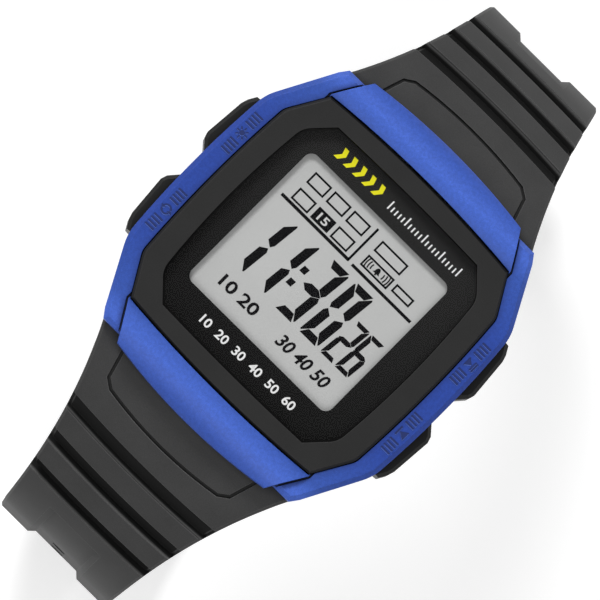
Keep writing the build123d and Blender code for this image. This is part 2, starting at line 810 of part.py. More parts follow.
# Buttons: cap and stem, seal, return spring and clip, drawn at +X +Y and mirrored to their places
button_inner_x = bezel_half_width + button_inner_rise
button_outer_x = bezel_half_width + button_outer_rise
seals = []
for name, side, end in (
    ("upper_right", 1, 1),
    ("upper_left", -1, 1),
    ("lower_right", 1, -1),
    ("lower_left", -1, -1),
):
    with BuildPart() as button:
        with BuildSketch(level(button_drop + button_height)):
            with BuildLine():
                Polyline(
                    (button_root_x, button_inner_y),
                    (button_shoulder_x, button_inner_y),
                    (button_inner_x, button_inner_y + button_inner_slope_length),
                    (button_outer_x, button_outer_y - button_outer_slope_length),
                    (button_shoulder_x, button_outer_y),
                    (button_root_x, button_outer_y),
                    close=True,
                )
            make_face()
        extrude(amount=button_height)
        chamfer(button.edges().filter_by(lambda e: e.center().X > button_shoulder_x), length=button_edge)
        with BuildSketch(stem_plane(stem_end_x)):
            add(small_round(button_stem_radius))
        extrude(amount=button_root_x - stem_end_x)
        with BuildSketch(stem_plane(clip_x)):
            add(small_round(button_stem_radius, overrun))
            Rectangle(clip_neck_width, clip_neck_width, mode=Mode.SUBTRACT)
        extrude(amount=clip_thickness, mode=Mode.SUBTRACT)
    with BuildPart() as spring:
        with BuildSketch(stem_plane(spring_seat_x)):
            add(small_round(spring_radius))
            add(small_round(spring_radius - spring_wire), mode=Mode.SUBTRACT)
        extrude(amount=button_root_x - spring_seat_x)
    with BuildPart() as clip:
        clip_slot_half = clip_neck_width / 2 + clip_neck_gap
        with BuildSketch(stem_plane(clip_x)):
            Rectangle(2 * clip_half_width, 2 * clip_half_width)
            with Locations((0, clip_slot_half)):
                Rectangle(
                    2 * clip_slot_half,
                    clip_slot_half + clip_half_width + overrun,
                    align=(Align.CENTER, Align.MAX),
                    mode=Mode.SUBTRACT,
                )
        extrude(amount=clip_thickness)
    with BuildPart() as seal:
        with BuildSketch(stem_plane(gland_x)):
            add(small_round(gland_radius, -seal_gap))
            add(small_round(button_stem_radius, seal_gap), mode=Mode.SUBTRACT)
        extrude(amount=seal_length)
    for piece in (button, spring, clip, seal):
        with piece:
            if side < 0:
                mirror(about=Plane.YZ, mode=Mode.REPLACE)
            if end < 0:
                mirror(about=Plane.XZ, mode=Mode.REPLACE)
    write(button, f"button_{name}")
    write(spring, f"button_spring_{name}")
    write(clip, f"button_clip_{name}")
    seals.append(seal.part)

with BuildPart() as button_seals:
    add(seals)
write(button_seals, "button_seals")

# Spring bars: a tube between the horns with a pin at each end
for name, end in (("spring_bar_12", 1), ("spring_bar_6", -1)):
    with BuildPart() as spring_bar:
        with BuildSketch(Plane.YZ):
            with Locations((end * bar_reach, bar_height)):
                Circle(bar_radius)
        extrude(amount=lug_gap_half - running_gap, both=True)
        with BuildSketch(Plane.YZ):
            with Locations((end * bar_reach, bar_height)):
                add(small_round(bar_pin_radius))
        extrude(amount=lug_gap_half + bar_pin_length, both=True)
    write(spring_bar, name)


def face_plane(run):
    """Plane across the strap at a run along its upper part, at 12 o'clock, with y pointing inward."""
    reach, drop, slope = outer_face(run)
    return Plane(
        origin=(0, reach, face_height - drop),
        x_dir=(1, 0, 0),
        z_dir=(0, cos(radians(slope)), -sin(radians(slope))),
    )


def lower_section():
    """Narrow section of the strap below its flanks, with its outer edges cut off."""
    half = strap_width / 2
    with BuildSketch(face_plane(upper_run)) as section:
        with BuildLine():
            Polyline(
                (-half, strap_edge),
                (strap_edge - half, 0),
                (half - strap_edge, 0),
                (half, strap_edge),
                (half, strap_thickness),
                (-half, strap_thickness),
                close=True,
            )
        make_face()
    return section.sketch


def upper_path(first_run):
    """Outer face from a run along the strap to where the strap hangs straight down."""
    with BuildLine(Plane.YZ) as path:
        for start, end, radius in (
            (0, shoulder_run, shoulder_radius),
            (shoulder_run, upper_run, flank_radius),
        ):
            start = max(start, first_run)
            if start < end:
                reach, drop, slope = outer_face(start)
                heading = (cos(radians(slope)), -sin(radians(slope)))
                JernArc((reach, face_height - drop), heading, radius, -degrees((end - start) / radius))
    return path


def lower_path(bend_radius, straight, bend_angle, flat):
    """Outer face from there down to the buckle or the tip."""
    with BuildLine(Plane.YZ) as path:
        if straight > 0:
            Line((horizon_reach, horizon_height), (horizon_reach, horizon_height - straight))
        JernArc((horizon_reach, horizon_height - straight), (0, -1), bend_radius, -bend_angle)
        if flat > 0:
            Line((horizon_reach - bend_radius, 0), (horizon_reach - bend_radius - flat, 0))
    return path


def strap_upper():
    """Flared length from the spring bar to where the strap hangs straight down."""
    with BuildPart() as upper:
        with BuildSketch(face_plane(0)):
            Rectangle(2 * tab_half_width, strap_thickness, align=(Align.CENTER, Align.MIN))
        sweep(path=upper_path(0).wires()[0])
        mid_reach = (bar_reach + horizon_reach) / 2
        with BuildSketch(Plane.XY.offset(horizon_height)):
            with BuildLine():
                flare = ThreePointArc(
                    (tab_half_width, bar_reach),
                    (strap_mid_width / 2, mid_reach),
                    (strap_width / 2, horizon_reach),
                )
                Line(flare @ 1, (0, horizon_reach))
                Line((0, horizon_reach), (0, bar_reach - strap_thickness))
                Line((0, bar_reach - strap_thickness), (tab_half_width, bar_reach - strap_thickness))
                Line((tab_half_width, bar_reach - strap_thickness), flare @ 0)
            make_face()
            mirror(about=Plane.YZ)
        extrude(amount=face_height - horizon_height, mode=Mode.INTERSECT)
        rims = []
        for run in (shoulder_run / 2, (shoulder_run + upper_run) / 2):
            outer = upper.faces().sort_by_distance(face_plane(run).origin)[0]
            rims += outer.edges().filter_by(GeomType.BSPLINE)
        chamfer(rims, length=strap_edge)
    return upper.part


def rib_grooves(upper):
    """Bowed grooves across the strap: curved bars less the strap itself set deeper."""
    cutters = []
    for run in groove_runs:
        reach, drop, slope = outer_face(run)
        along = Vector(0, cos(radians(slope)), -sin(radians(slope)))
        outward = Vector(0, sin(radians(slope)), cos(radians(slope)))
        middle = Vector(0, reach, face_height - drop)
        bow_turn = degrees(tab_half_width / groove_bow_radius)
        with BuildPart() as cutter:
            with BuildSketch(Plane(origin=middle, x_dir=along, z_dir=(1, 0, 0))):
                with BuildLine():
                    Polyline(
                        (-groove_floor_width / 2, -groove_depth - strap_edge / 2),
                        (groove_floor_width / 2, -groove_depth - strap_edge / 2),
                        (groove_floor_width / 2, -groove_depth),
                        (groove_width / 2, 0),
                        (groove_width / 2, overrun),
                        (-groove_width / 2, overrun),
                        (-groove_width / 2, 0),
                        (-groove_floor_width / 2, -groove_depth),
                        close=True,
                    )
                make_face()
            revolve(axis=Axis(middle - along * groove_bow_radius, -outward), revolution_arc=bow_turn)
            mirror(about=Plane.YZ)
            add(upper.moved(Location(outward * -groove_depth)), mode=Mode.SUBTRACT)
        cutters.append(cutter.part)
    return cutters


def panel_line(upper):
    """Fine line round the raised panel at the root, cut as deep as the strap set lower."""
    hidden_reach = bar_reach - strap_thickness - overrun
    with BuildPart() as cutter:
        with BuildSketch(Plane.XY.offset(horizon_height)):
            with BuildLine():
                end = ThreePointArc(
                    (panel_corner_half_width, panel_corner_reach),
                    (0, panel_reach),
                    (-panel_corner_half_width, panel_corner_reach),
                )
                Polyline(
                    end @ 1,
                    (-panel_side_half_width, panel_side_reach),
                    (-panel_root_half_width, hidden_reach),
                    (panel_root_half_width, hidden_reach),
                    (panel_side_half_width, panel_side_reach),
                    end @ 0,
                )
            make_face()
            offset(amount=-panel_line_width, kind=Kind.INTERSECTION, mode=Mode.SUBTRACT)
        extrude(amount=face_height - horizon_height)
        add(upper.moved(Location((0, 0, -panel_line_depth))), mode=Mode.SUBTRACT)
    return cutter.part


def channel_cutter(lower):
    """Shallow channel down the middle of the outer face, with sloping sides."""
    with BuildLine() as path:
        add(upper_path(channel_start).edges())
        add(lower.edges())
    with BuildPart() as cutter:
        with BuildSketch(face_plane(channel_start)):
            with BuildLine():
                Polyline(
                    (-channel_width / 2, 0),
                    (-channel_floor_width / 2, channel_depth),
                    (channel_floor_width / 2, channel_depth),
                    (channel_width / 2, 0),
                    (channel_width / 2, -overrun),
                    (-channel_width / 2, -overrun),
                    close=True,
                )
            make_face()
        sweep(path=path.wires()[0])
    return cutter.part


def strap_length(lower):
    """One strap at 12 o'clock, from its root to its end, with grooves, channel and horn clearance."""
    upper = strap_upper()
    with BuildPart() as strap:
        add(upper)
        add(lower_section())
        sweep(path=lower.wires()[0])
        for cutter in rib_grooves(upper):
            add(cutter, mode=Mode.SUBTRACT)
        add(panel_line(upper), mode=Mode.SUBTRACT)
        add(channel_cutter(lower), mode=Mode.SUBTRACT)
        # clearance round the case horns, at rest and at the end of the swing
        with BuildSketch(Plane.YZ):
            with Locations((bar_reach, bar_height)):
                Circle(horn_radius + joint_gap)
                for turn in (0, -strap_swing):
                    Rectangle(
                        2 * horn_radius,
                        2 * (horn_radius + joint_gap),
                        rotation=turn,
                        align=(Align.MAX, Align.CENTER),
                    )
        extrude(amount=tab_half_width + overrun, both=True, mode=Mode.SUBTRACT)
        # knuckle on the spring bar
        with BuildSketch(Plane.YZ):
            with Locations((bar_reach, bar_height)):
                Circle(knuckle_radius)
        extrude(amount=lug_gap_half - knuckle_gap, both=True)
        with BuildSketch(Plane.YZ):
            with Locations((bar_reach, bar_height)):
                Circle(bar_radius + running_gap)
        extrude(amount=lug_gap_half, both=True, mode=Mode.SUBTRACT)
    return strap.part


# Buckle side strap, with a knuckle and a tongue slot at its end
with BuildPart() as strap_12:
    add(strap_length(lower_path(buckle_bend_radius, 0, degrees(buckle_angle), 0)))
    with BuildSketch(Plane.YZ):
        with Locations((buckle_bar_reach, buckle_bar_height)):
            Circle(buckle_knuckle_radius)
    extrude(amount=strap_width / 2, both=True)
    with BuildSketch(Plane.YZ):
        with Locations((buckle_bar_reach, buckle_bar_height)):
            Circle(buckle_bar_radius + running_gap)
    extrude(amount=strap_width, both=True, mode=Mode.SUBTRACT)
    with BuildSketch(Plane.XY):
        with Locations((0, buckle_bar_reach - buckle_knuckle_radius - overrun)):
            Rectangle(tongue_slot_width, tongue_slot_length + overrun, align=(Align.CENTER, Align.MIN))
    extrude(amount=horizon_height / 2, mode=Mode.SUBTRACT)
write(strap_12, "strap_12")


def tail_plane(distance):
    """Plane on the outer face of the tail, at a distance from its tip, facing into the strap."""
    bend_start = tail_flat + tail_bend_radius * radians(90)
    if distance <= tail_flat:
        return Plane(origin=(0, tail_tip + distance, 0), x_dir=(1, 0, 0), z_dir=(0, 0, 1))
    if distance >= bend_start:
        height = tail_bend_radius + distance - bend_start
        return Plane(origin=(0, horizon_reach, height), x_dir=(1, 0, 0), z_dir=(0, -1, 0))
    angle = (distance - tail_flat) / tail_bend_radius
    inward = (0, -sin(angle), cos(angle))
    return Plane(
        origin=(0, tail_bend_reach + tail_bend_radius * sin(angle), tail_bend_radius * (1 - cos(angle))),
        x_dir=(1, 0, 0),
        z_dir=inward,
    )


# Tail side strap, mirrored to 6 o'clock, with its holes and a pointed tip
with BuildPart() as strap_6:
    add(strap_length(lower_path(tail_bend_radius, tail_straight, 90, tail_flat)))
    with BuildSketch():
        with BuildLine():
            corner_x = strap_width / 2 - tail_tip_corner
            Polyline(
                (corner_x - overrun, tail_tip - overrun),
                (strap_width / 2 + overrun, tail_tip + tail_tip_corner + overrun),
                (strap_width / 2 + overrun, tail_tip - overrun),
                close=True,
            )
        make_face()
        mirror(about=Plane.YZ)
    extrude(amount=strap_thickness + overrun, both=True, mode=Mode.SUBTRACT)
    for count in range(tail_hole_count):
        with BuildSketch(tail_plane(tail_hole_first + count * tail_hole_pitch)) as hole:
            Rectangle(tail_hole_width, tail_hole_length)
            chamfer(hole.vertices(), length=tail_hole_corner)
        extrude(amount=2 * strap_thickness, both=True, mode=Mode.SUBTRACT)
    mirror(about=Plane.XZ, mode=Mode.REPLACE)
write(strap_6, "strap_6")

# Buckle bar, frame and tongue
with BuildPart() as buckle_bar:
    with BuildSketch(Plane.YZ):
        with Locations((buckle_bar_reach, buckle_bar_height)):
            Circle(buckle_bar_radius)
    extrude(amount=buckle_width / 2, both=True)
write(buckle_bar, "buckle_bar")

window_end = buckle_bar_reach + buckle_knuckle_radius + joint_gap
with BuildPart() as buckle_frame:
    with BuildSketch(Plane.YZ):
        with Locations((buckle_bar_reach, buckle_bar_height)):
            Circle(buckle_eye_radius)
        with Locations((buckle_bar_reach, buckle_bar_height - buckle_eye_radius)):
            Rectangle(buckle_length, buckle_depth, align=(Align.MAX, Align.MIN))
    extrude(amount=buckle_width / 2, both=True)
    chamfer(buckle_frame.edges().filter_by(Axis.Z).sort_by(Axis.Y)[0:2], length=buckle_outer_bar)
    with BuildSketch(Plane.XY):
        with Locations((0, window_end)):
            Rectangle(
                buckle_window_width,
                window_end - frame_end - buckle_outer_bar,
                align=(Align.CENTER, Align.MAX),
            )
    extrude(amount=2 * buckle_bar_height, mode=Mode.SUBTRACT)
    with BuildSketch(Plane.YZ):
        with Locations((buckle_bar_reach, buckle_bar_height)):
            Circle(buckle_bar_radius + running_gap)
    extrude(amount=buckle_width, both=True, mode=Mode.SUBTRACT)
write(buckle_frame, "buckle_frame")

tongue_base = buckle_bar_height - buckle_eye_radius + buckle_depth + tongue_gap
with BuildPart() as buckle_tongue:
    with BuildSketch(Plane.YZ):
        with BuildLine():
            Polyline(
                (buckle_bar_reach, tongue_base),
                (buckle_bar_reach, tongue_base + tongue_depth),
                (frame_end, tongue_base + tongue_depth),
                (frame_end - tongue_tip_over, tongue_base + tongue_depth / 3),
                (frame_end - tongue_tip_over, tongue_base),
                close=True,
            )
        make_face()
        with Locations((buckle_bar_reach, buckle_bar_height)):
            Circle(tongue_eye_radius)
            Circle(buckle_bar_radius + running_gap, mode=Mode.SUBTRACT)
    extrude(amount=tongue_width / 2, both=True)
write(buckle_tongue, "buckle_tongue")


def keeper(from_bar):
    """Square loop round the strap with room for the tail, at a run up from the buckle bar."""
    angle = buckle_angle - from_bar / buckle_bend_radius
    reach = horizon_reach - buckle_bend_radius * (1 - cos(angle))
    height = horizon_height - buckle_bend_radius * sin(angle)
    plane = Plane(
        origin=(0, reach, height),
        x_dir=(1, 0, 0),
        z_dir=(0, -sin(angle), -cos(angle)),
    )
    inner_width = strap_width + 2 * keeper_gap
    low = -strap_thickness - tail_slack - keeper_gap
    high = strap_thickness + keeper_gap
    with BuildSketch() as outside:
        Rectangle(inner_width + 2 * keeper_wall, high - low + 2 * keeper_wall)
        chamfer(outside.vertices(), length=keeper_corner)
    with BuildPart() as loop:
        with BuildSketch(plane):
            with Locations((0, (low + high) / 2)):
                add(outside.sketch)
                Rectangle(inner_width, high - low, mode=Mode.SUBTRACT)
        extrude(amount=keeper_length / 2, both=True)
    return loop


write(keeper(fixed_keeper_from_bar), "keeper_fixed")
write(keeper(free_keeper_from_bar), "keeper_free")

tail_side_length = upper_run + tail_straight + tail_bend_radius * radians(90) + tail_flat
print("face height", round(face_height, 2), "horizon", round(horizon_reach, 2), round(horizon_height, 2))
print("upper run", round(upper_run, 2), "tail side", round(tail_side_length, 2), "tip", round(tail_tip, 2))
print("buckle bar", round(buckle_bar_reach, 2), "bend", round(degrees(buckle_angle), 2))
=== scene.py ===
from math import cos, pi, radians, sin

import bmesh
import bpy
from mathutils import Matrix, Vector


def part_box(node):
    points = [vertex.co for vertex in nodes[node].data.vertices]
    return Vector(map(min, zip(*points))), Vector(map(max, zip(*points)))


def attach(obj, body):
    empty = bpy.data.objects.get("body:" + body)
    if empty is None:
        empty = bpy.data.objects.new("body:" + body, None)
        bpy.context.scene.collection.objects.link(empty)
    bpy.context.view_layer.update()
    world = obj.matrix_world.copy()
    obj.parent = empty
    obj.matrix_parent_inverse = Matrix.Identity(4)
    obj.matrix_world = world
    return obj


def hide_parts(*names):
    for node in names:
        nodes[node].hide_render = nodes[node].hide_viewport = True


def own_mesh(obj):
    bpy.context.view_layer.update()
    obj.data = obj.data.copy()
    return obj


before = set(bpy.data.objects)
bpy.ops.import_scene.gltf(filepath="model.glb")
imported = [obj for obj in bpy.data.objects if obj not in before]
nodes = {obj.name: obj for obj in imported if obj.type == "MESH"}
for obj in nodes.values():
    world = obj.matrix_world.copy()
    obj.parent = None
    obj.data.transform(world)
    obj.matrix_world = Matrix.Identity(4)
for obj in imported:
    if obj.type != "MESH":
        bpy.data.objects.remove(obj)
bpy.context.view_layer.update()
scene = bpy.context.scene
scene.view_settings.view_transform = "Standard"

MM = 0.001
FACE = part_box("case_body")[1].z
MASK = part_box("dial_mask")[1].z
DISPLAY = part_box("lcd_front_polariser")[1].z
RAIL = FACE - 0.48 * MM
BAND_REACH = 22.5 * MM

# Arcs of the strap's outer face, seen from the side: reach and height of the middle, and radius
SHOULDER_ARC = (7.503 * MM, 26.172 * MM, 38 * MM)
FLANK_ARC = (15.416 * MM, 33.813 * MM, 27 * MM)

# Thickness of a layer of print, and the heights at which the layers start
INK = 0.01 * MM
PRINT = MASK + 0.03 * MM
DISPLAY_MARKS = DISPLAY + 0.01 * MM
DISPLAY_NUMBERS = DISPLAY + 0.03 * MM

# The values of a noise lie mostly between these two
NOISE_LOW = 0.3
NOISE_HIGH = 0.7

WHITE = (1, 1, 1, 1)


# Parts of the materials
def grey(shade):
    return (shade, shade, shade)


def new_material(name):
    material = bpy.data.materials.new(name)
    material.use_nodes = True
    tree = material.node_tree
    return material, tree, tree.nodes["Principled BSDF"]


def place_on(tree, stretch=(1, 1, 1)):
    """Coordinates of the object, stretched when a grain runs one way."""
    coords = tree.nodes.new("ShaderNodeTexCoord")
    mapping = tree.nodes.new("ShaderNodeMapping")
    mapping.inputs["Scale"].default_value = stretch
    tree.links.new(coords.outputs["Object"], mapping.inputs["Vector"])
    return mapping.outputs["Vector"]


def separate(tree, vector):
    """The X, Y and Z of a vector."""
    split = tree.nodes.new("ShaderNodeSeparateXYZ")
    tree.links.new(vector, split.inputs["Vector"])
    return split.outputs


def add_noise(tree, scale, detail=4.0, stretch=(1, 1, 1)):
    noise = tree.nodes.new("ShaderNodeTexNoise")
    noise.inputs["Scale"].default_value = scale
    noise.inputs["Detail"].default_value = detail
    tree.links.new(place_on(tree, stretch), noise.inputs["Vector"])
    return noise.outputs["Fac"]


def add_ramp(tree, value, stops):
    ramp = tree.nodes.new("ShaderNodeValToRGB")
    band = ramp.color_ramp
    while len(band.elements) < len(stops):
        band.elements.new(0.5)
    for element, (position, colour) in zip(band.elements, stops):
        element.position = position
        element.color = (*colour, 1)
    tree.links.new(value, ramp.inputs["Fac"])
    return ramp.outputs["Color"]


def multiply(tree, first, second):
    mix = tree.nodes.new("ShaderNodeMix")
    mix.data_type = "RGBA"
    mix.blend_type = "MULTIPLY"
    mix.inputs["Factor"].default_value = 1
    tree.links.new(first, mix.inputs["A"])
    tree.links.new(second, mix.inputs["B"])
    return mix.outputs["Result"]


def calculate(tree, operation, first, second=0):
    """Math node of a socket with a number or with another socket."""
    node = tree.nodes.new("ShaderNodeMath")
    node.operation = operation
    tree.links.new(first, node.inputs[0])
    if isinstance(second, bpy.types.NodeSocket):
        tree.links.new(second, node.inputs[1])
    else:
        node.inputs[1].default_value = second
    return node.outputs[0]


def greatest(tree, values):
    """The largest of several sockets."""
    result = values[0]
    for other in values[1:]:
        result = calculate(tree, "MAXIMUM", result, other)
    return result


def remap(tree, value, start, end, low, high):
    """Turns the range from start to end into the range from low to high."""
    node = tree.nodes.new("ShaderNodeMapRange")
    limits = (("From Min", start), ("From Max", end), ("To Min", low), ("To Max", high))
    for name, number in limits:
        node.inputs[name].default_value = number
    tree.links.new(value, node.inputs["Value"])
    return node.outputs["Result"]


def blend(tree, noise, dark, light):
    """Colour between two, by the value of a noise."""
    return add_ramp(tree, noise, ((NOISE_LOW, dark), (NOISE_HIGH, light)))


def spread(tree, noise, low, high):
    """Number between two, by the value of a noise."""
    return remap(tree, noise, NOISE_LOW, NOISE_HIGH, low, high)


def add_clouds(tree, colour, scale, darkest):
    """Wide, faint clouds over a colour."""
    clouds = add_noise(tree, scale, 2.0)
    shades = add_ramp(tree, clouds, ((0.35, grey(darkest)), (0.65, grey(1))))
    return multiply(tree, colour, shades)


def shade_creases(tree, colour, reach):
    """Painted shade: darkens a colour by ambient occlusion in grooves and joints, where shade
    falls.
    """
    gather = tree.nodes.new("ShaderNodeAmbientOcclusion")
    gather.samples = 6
    gather.inputs["Distance"].default_value = reach
    return multiply(tree, colour, calculate(tree, "POWER", gather.outputs["AO"], 2))


def surface(tree, shader, colour, relief, roughness, strength, depth, edge, wear_and_highlight_strength=1.6):
    """Links a colour, a fine relief and an uneven gloss; edges are a little rounded and paler, from
    wear and as painted highlight.
    """
    soft = tree.nodes.new("ShaderNodeBevel")
    soft.samples = 4
    soft.inputs["Radius"].default_value = edge
    flat = tree.nodes.new("ShaderNodeNewGeometry")
    turn = tree.nodes.new("ShaderNodeVectorMath")
    turn.operation = "DOT_PRODUCT"
    tree.links.new(soft.outputs["Normal"], turn.inputs[0])
    tree.links.new(flat.outputs["Normal"], turn.inputs[1])
    # The more the rounded normal turns away from the flat one, the paler the edge, as wear and as
    # painted highlight
    paled_by_wear_and_highlight = remap(tree, turn.outputs["Value"], 0.80, 0.98, wear_and_highlight_strength, 1.0)
    tree.links.new(multiply(tree, colour, paled_by_wear_and_highlight), shader.inputs["Base Color"])
    gloss = spread(tree, relief, roughness - 0.07, roughness + 0.07)
    tree.links.new(gloss, shader.inputs["Roughness"])
    bump = tree.nodes.new("ShaderNodeBump")
    bump.inputs["Strength"].default_value = strength
    bump.inputs["Distance"].default_value = depth
    tree.links.new(relief, bump.inputs["Height"])
    tree.links.new(soft.outputs["Normal"], bump.inputs["Normal"])
    tree.links.new(bump.outputs["Normal"], shader.inputs["Normal"])


def groove_depth(tree, place):
    """Depth in metres below the strap's outer face, which follows two arcs from the head down."""
    side = tree.nodes.new("ShaderNodeCombineXYZ")
    tree.links.new(calculate(tree, "ABSOLUTE", place["Y"]), side.inputs["Y"])
    tree.links.new(place["Z"], side.inputs["Z"])
    depths = []
    for reach, height, radius in (SHOULDER_ARC, FLANK_ARC):
        span = tree.nodes.new("ShaderNodeVectorMath")
        span.operation = "DISTANCE"
        span.inputs[1].default_value = (0, reach, height)
        tree.links.new(side.outputs["Vector"], span.inputs[0])
        beyond = calculate(tree, "SUBTRACT", span.outputs["Value"], radius)
        depths.append(calculate(tree, "MULTIPLY", beyond, -1))
    return calculate(tree, "MINIMUM", *depths)


def shade_grooves(tree, colour):
    """Painted highlight on the rims and painted shade on the floors of the strap's cross grooves.
    """
    place = separate(tree, place_on(tree))
    depth = groove_depth(tree, place)
    facing = tree.nodes.new("ShaderNodeTexCoord")
    sideways = calculate(tree, "ABSOLUTE", separate(tree, facing.outputs["Normal"])["X"])
    # Painted highlight: the rims are lighter; painted shade: the floors are darker
    rim = remap(tree, depth, 0.03 * MM, 0.14 * MM, 1.0, 2.4)
    painted_floor_shade = remap(tree, depth, 0.16 * MM, 0.5 * MM, 1.0, 0.12)
    # Left plain: the strap's underside, faces that look sideways and the part below the grooves
    underside = remap(tree, depth, 1.15 * MM, 1.3 * MM, 0.0, 1.0)
    flank = remap(tree, sideways, 0.4, 0.6, 0.0, 1.0)
    below = remap(tree, place["Z"], 46.9 * MM, 46.4 * MM, 0.0, 1.0)
    plain = tree.nodes.new("ShaderNodeMix")
    plain.data_type = "RGBA"
    tree.links.new(greatest(tree, (underside, flank, below)), plain.inputs["Factor"])
    tree.links.new(multiply(tree, rim, painted_floor_shade), plain.inputs["A"])
    plain.inputs["B"].default_value = WHITE
    return multiply(tree, colour, plain.outputs["Result"])


# Kinds of material
def moulded(name, dark, light, roughness, specular=0.35, grain=9000, edge=0.1 * MM, wear_and_highlight_strength=1.6,
            grooved=False):
    """Moulded plastic or resin: fine grain, faint clouds, painted shade in creases, and when
    grooved, painted highlight and shade in the strap's grooves.
    """
    material, tree, shader = new_material(name)
    shader.inputs["Specular IOR Level"].default_value = specular
    fine = add_noise(tree, grain)
    colour = add_clouds(tree, blend(tree, fine, dark, light), scale=220, darkest=0.9)
    if grooved:
        colour = shade_grooves(tree, colour)
    colour = shade_creases(tree, colour, reach=1.5 * MM)
    surface(tree, shader, colour, fine, roughness, strength=0.15, depth=0.03 * MM, edge=edge,
            wear_and_highlight_strength=wear_and_highlight_strength)
    return material


def metal(name, dark, light, roughness, stretch=(1, 1, 1), grain=2500):
    """Metal with a drawn or brushed grain."""
    material, tree, shader = new_material(name)
    shader.inputs["Metallic"].default_value = 1
    fine = add_noise(tree, grain, 6.0, stretch)
    # Painted shade in the creases of the metal
    colour = shade_creases(tree, blend(tree, fine, dark, light), reach=0.8 * MM)
    surface(tree, shader, colour, fine, roughness, strength=0.12, depth=0.01 * MM, edge=0.08 * MM)
    return material


def printed(name, colour):
    """Flat ink, a little uneven in the print."""
    material, tree, shader = new_material(name)
    shader.inputs["Specular IOR Level"].default_value = 0.05
    fine = add_noise(tree, 16000)
    faded = tuple(0.88 * part for part in colour)
    shades = add_ramp(tree, fine, ((0.35, faded), (0.6, colour)))
    tree.links.new(shades, shader.inputs["Base Color"])
    tree.links.new(spread(tree, fine, 0.52, 0.68), shader.inputs["Roughness"])
    return material


def lacquered(name):
    """Blue lacquer with metallic flakes, with painted highlight along the middle of the bezel's two
    bands and painted shade on the side rails.
    """
    material, tree, shader = new_material(name)
    shader.inputs["Specular IOR Level"].default_value = 0.3
    flakes = add_noise(tree, 12000, 2.0)
    patches = add_noise(tree, 2600, 6.0)
    # Share of the way from the middle of the watch to the outer edge of a band
    reach = calculate(tree, "ABSOLUTE", separate(tree, place_on(tree))["Y"])
    share = calculate(tree, "DIVIDE", reach, BAND_REACH)
    # Painted shade on the side rails and the bands' outer edges, painted highlight along the middle
    # of the bands
    colour = add_ramp(tree, share, (
        (0.40, (0.017, 0.058, 0.35)),
        (0.76, (0.032, 0.090, 0.43)),
        (0.86, (0.060, 0.142, 0.62)),
        (0.99, (0.036, 0.090, 0.43)),
    ))
    colour = multiply(tree, colour, remap(tree, patches, 0.35, 0.65, 0.91, 1.08))
    colour = multiply(tree, colour, spread(tree, flakes, 0.86, 1.14))
    # Painted shade in the creases of the lacquer
    colour = shade_creases(tree, colour, reach=1.0 * MM)
    surface(tree, shader, colour, flakes, 0.45, strength=0.12, depth=0.02 * MM, edge=0.12 * MM)
    return material


def mask_painted(name, half=15 * MM):
    """Dark ink of the mask, with painted shade that makes it darker towards 6 o'clock."""
    material, tree, shader = new_material(name)
    shader.inputs["Specular IOR Level"].default_value = 0.05
    # Painted shade: darker towards 6 o'clock, lighter towards 12
    from_six = calculate(tree, "ADD", separate(tree, place_on(tree))["Y"], half)
    share = calculate(tree, "DIVIDE", from_six, 2 * half)
    colour = add_ramp(tree, share, ((0.05, grey(0.006)), (0.95, grey(0.020))))
    fine = add_noise(tree, 14000)
    colour = multiply(tree, colour, spread(tree, fine, 0.85, 1))
    tree.links.new(colour, shader.inputs["Base Color"])
    tree.links.new(spread(tree, fine, 0.45, 0.6), shader.inputs["Roughness"])
    return material


def film(name):
    """Grey film of the display, hardly shaded."""
    material, tree, shader = new_material(name)
    shader.inputs["Specular IOR Level"].default_value = 0.2
    fine = add_noise(tree, 12000)
    tree.links.new(spread(tree, fine, 0.35, 0.45), shader.inputs["Roughness"])
    colour = blend(tree, fine, (0.50, 0.505, 0.50), (0.53, 0.535, 0.53))
    colour = add_clouds(tree, colour, scale=120, darkest=0.97)
    tree.links.new(colour, shader.inputs["Base Color"])
    return material


def clear(name):
    """Clear plastic, open to the light that falls on what lies under it."""
    material, tree, shader = new_material(name)
    shader.inputs["Roughness"].default_value = 0
    shader.inputs["IOR"].default_value = 1.2
    shader.inputs["Specular IOR Level"].default_value = 0.25
    shader.inputs["Transmission Weight"].default_value = 1
    haze = spread(tree, add_noise(tree, 300), 0.97, 1.0)
    tree.links.new(haze, shader.inputs["Base Color"])
    open_glass = tree.nodes.new("ShaderNodeBsdfTransparent")
    rays = tree.nodes.new("ShaderNodeLightPath").outputs
    unseen = greatest(tree, (rays["Is Shadow Ray"], rays["Is Diffuse Ray"], rays["Is Glossy Ray"]))
    mix = tree.nodes.new("ShaderNodeMixShader")
    tree.links.new(unseen, mix.inputs["Fac"])
    tree.links.new(shader.outputs["BSDF"], mix.inputs[1])
    tree.links.new(open_glass.outputs["BSDF"], mix.inputs[2])
    tree.links.new(mix.outputs["Shader"], tree.nodes["Material Output"].inputs["Surface"])
    return material


# Materials
# The strap and the case get the palest edges: wear and painted highlight
strap_resin = moulded("strap_resin", grey(0.043), grey(0.062), 0.62, 0.2, edge=0.2 * MM, wear_and_highlight_strength=2.6,
                      grooved=True)
case_resin = moulded("case_resin", grey(0.016), grey(0.023), 0.5, 0.22, edge=0.18 * MM, wear_and_highlight_strength=3)
button_resin = moulded("button_resin", grey(0.008), grey(0.013), 0.45, 0.25)
module_plastic = moulded("module_plastic", (0.62, 0.62, 0.58), (0.72, 0.72, 0.69), 0.5)
silicone = moulded("silicone", (0.38, 0.08, 0.07), (0.48, 0.11, 0.09), 0.6)
zebra_rubber = moulded("zebra_rubber", (0.20, 0.20, 0.22), (0.30, 0.30, 0.32), 0.6, grain=5000)
chip_resin = moulded("chip_resin", grey(0.015), grey(0.03), 0.35, 0.5)
board_green = moulded("board_green", (0.03, 0.18, 0.08), (0.05, 0.26, 0.12), 0.35, 0.5, grain=1500)
